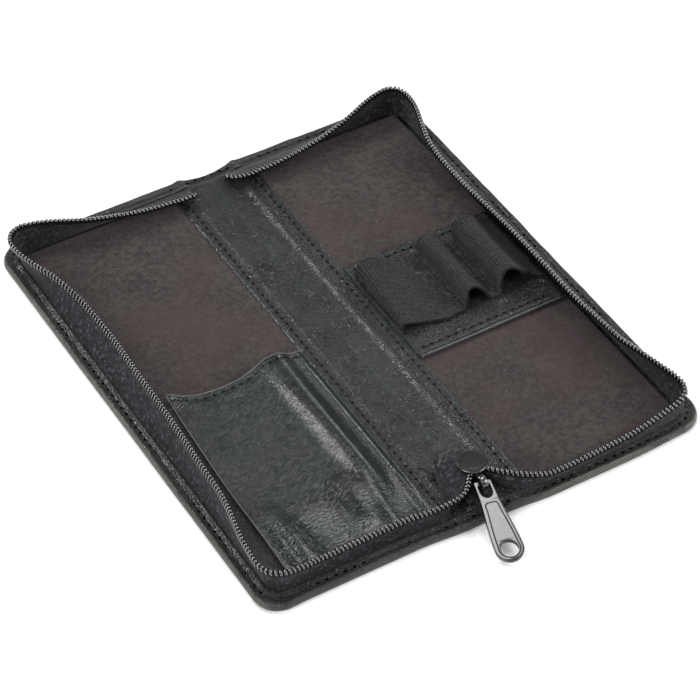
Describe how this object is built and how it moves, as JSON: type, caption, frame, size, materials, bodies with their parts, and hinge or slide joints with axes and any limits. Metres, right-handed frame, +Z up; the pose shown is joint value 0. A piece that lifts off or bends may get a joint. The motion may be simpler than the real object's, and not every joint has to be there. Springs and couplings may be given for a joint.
{
  "type": "fountain pen case",
  "caption": "Zip-around leather pen case lying open: two lined panels folding at a wide spine strip, a slip pocket, elastic pen loops and a coil zip with slider and pull tab.",
  "frame": {"origin": "underside of the spine, midway along its length and midway between the two creases, on the plane that the open case rests on", "axes": "+Z up out of the open case, +Y along the spine away from the zip slider's end, +X towards the panel with the elastic loops"},
  "size_m": [0.164, 0.2101, 0.0133],
  "materials": {
    "black_leather": "smooth black leather, satin, fine pebble grain",
    "suede_lining": "matt brown-black suede lining, faintly mottled",
    "zip_tape": "charcoal woven zip tape, matt",
    "zip_coil": "glossy black nylon coil",
    "elastic_webbing": "ribbed charcoal elastic webbing, matt",
    "black_metal": "glossy black lacquered zinc",
    "stiffening_board": "grey fibre board, hidden"
  },
  "bodies": {
    "spine": {"cover_spine": "black_leather", "lining_spine": "suede_lining", "strip_centre": "black_leather", "zip_tape_end_tab": "zip_tape", "zip_bottom_stop": "black_metal"},
    "left_panel": {"cover_left": "black_leather", "board_left": "stiffening_board", "lining_left": "suede_lining", "strip_margin_left": "black_leather", "zip_tape_left": "zip_tape", "zip_coil_left": "zip_coil", "pocket_leather": "black_leather"},
    "right_panel": {"cover_right": "black_leather", "board_right": "stiffening_board", "lining_right": "suede_lining", "strip_margin_right": "black_leather", "zip_tape_right": "zip_tape", "zip_coil_right": "zip_coil", "loop_patch": "black_leather", "elastic_band": "elastic_webbing"},
    "slider": {"slider_body": "black_metal", "slider_bail": "black_metal"},
    "pull_tab": {"zip_puller": "black_metal"}
  },
  "joints": [
    {"name": "left_fold", "type": "hinge", "parent": "spine", "child": "left_panel", "pos_m": [-0.0105, 0, 0.0032], "axis": [0, 1, 0], "range_deg": [0, 90]},
    {"name": "right_fold", "type": "hinge", "parent": "spine", "child": "right_panel", "pos_m": [0.0105, 0, 0.0032], "axis": [0, -1, 0], "range_deg": [0, 90]},
    {"name": "slider_travel", "type": "slide", "parent": "spine", "child": "slider", "axis": [0, -1, 0], "range_m": [0, 0.002]},
    {"name": "pull_tab_swing", "type": "hinge", "parent": "slider", "child": "pull_tab", "pos_m": [0.0006, -0.0865, 0.008], "axis": [-0.9781, 0.2079, 0], "range_deg": [0, 104]}
  ]
}
